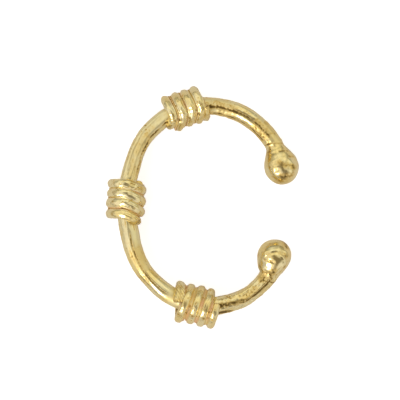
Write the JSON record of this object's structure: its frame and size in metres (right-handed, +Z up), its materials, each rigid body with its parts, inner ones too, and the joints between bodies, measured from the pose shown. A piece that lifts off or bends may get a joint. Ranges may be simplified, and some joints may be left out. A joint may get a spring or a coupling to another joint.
{
  "type": "non-piercing belly ring",
  "caption": "Open oval hoop of gold-coloured wire with ball ends and wire wraps, clipped over the rim of the navel without a piercing.",
  "frame": {"origin": "middle of the ring's outline, on the plane that the ring lies on", "axes": "+X towards the mouth between the balls, +Y towards the upper wrap along the oval, +Z up, square to the ring"},
  "size_m": [0.0148, 0.0184, 0.0029],
  "materials": {
    "hoop_metal": "polished, with fine pits and drawing marks",
    "wrap_metal": "polished"
  },
  "bodies": {
    "root": {"hoop": "hoop_metal", "upper_wrap": "wrap_metal", "left_wrap": "wrap_metal", "lower_wrap": "wrap_metal"}
  },
  "joints": []
}
